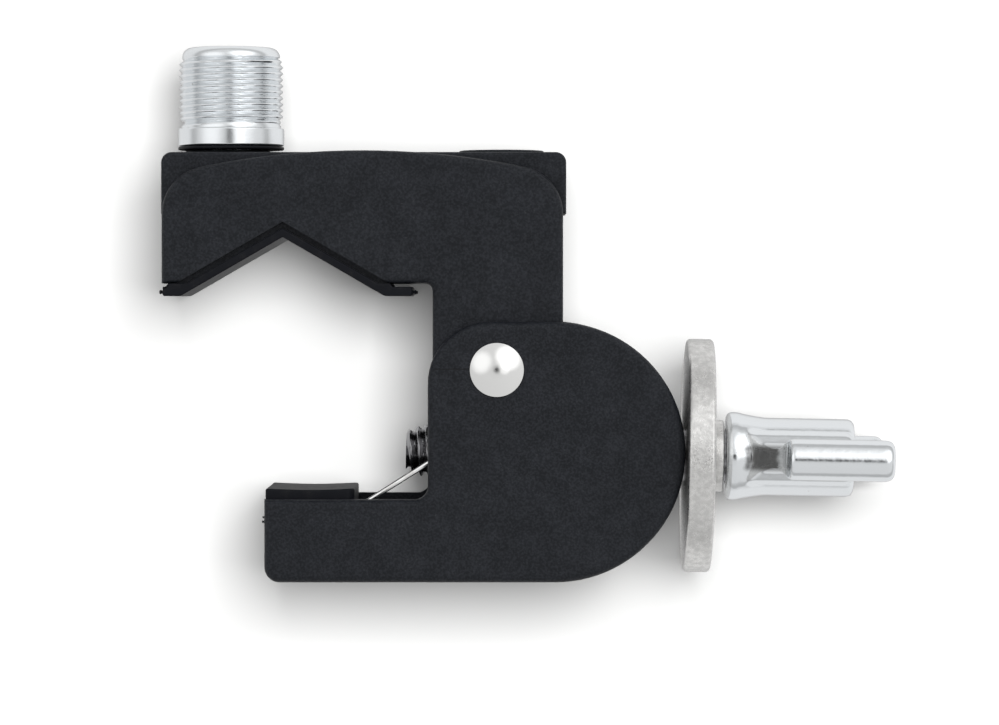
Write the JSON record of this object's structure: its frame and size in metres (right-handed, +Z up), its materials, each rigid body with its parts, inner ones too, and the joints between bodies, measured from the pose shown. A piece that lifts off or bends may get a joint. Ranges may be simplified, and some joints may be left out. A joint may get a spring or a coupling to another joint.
{
  "type": "microphone clamp",
  "caption": "Rim and tube clamp for a microphone: V jaw, hinged lower arm, wing screw with pressure disc, return spring and a threaded microphone stud.",
  "frame": {"origin": "on the flat underside of the lower arm, straight below the hinge pin, halfway across the clamp's width", "axes": "+Z up the threaded stud, +X from the open jaws towards the wing screw, Y across the width along the hinge pin"},
  "size_m": [0.1109, 0.0358, 0.0811],
  "materials": {
    "body": "matte black moulded nylon with a fine mottled skin",
    "rubber": "black rubber",
    "chrome": "bright plating",
    "zinc": "dull zinc-plated steel",
    "steel": "bright steel",
    "dark_steel": "oiled steel thread"
  },
  "bodies": {
    "arm": {"lower_arm": "body", "lower_pad": "rubber", "hinge_rivet": "chrome", "rivet_washer": "steel", "return_spring": "steel"},
    "jaw": {"upper_jaw": "body", "v_pad": "rubber", "hinge_sleeve": "steel", "mount_stud": "chrome", "stud_gasket": "rubber", "stud_bolt": "steel", "stud_lock_washer": "steel", "stud_washer": "steel", "captive_nut": "steel"},
    "disc": {"pressure_disc": "zinc", "wing_washer": "zinc"},
    "wing_screw": {"screw_rod": "dark_steel", "wing_grip": "chrome"}
  },
  "joints": [
    {"name": "jaw_hinge", "type": "hinge", "parent": "arm", "child": "jaw", "pos_m": [0, 0, 0.032], "axis": [0, -1, 0], "range_deg": [0, 30], "deforming": ["return_spring"]},
    {"name": "screw_travel", "type": "slide", "parent": "jaw", "child": "disc", "axis": [0.9998, 0, -0.0183], "range_m": [-0.0075, 0]},
    {"name": "screw_turn", "type": "hinge", "parent": "disc", "child": "wing_screw", "pos_m": [0, 0, 0.01925], "axis": [0.9998, 0, -0.0183], "range_deg": [-2115, 0]}
  ],
  "couplings": [
    {"joint": "screw_travel", "follows": "jaw_hinge", "m_per_rad": -0.014},
    {"joint": "screw_turn", "follows": "jaw_hinge", "ratio": -70.372}
  ]
}
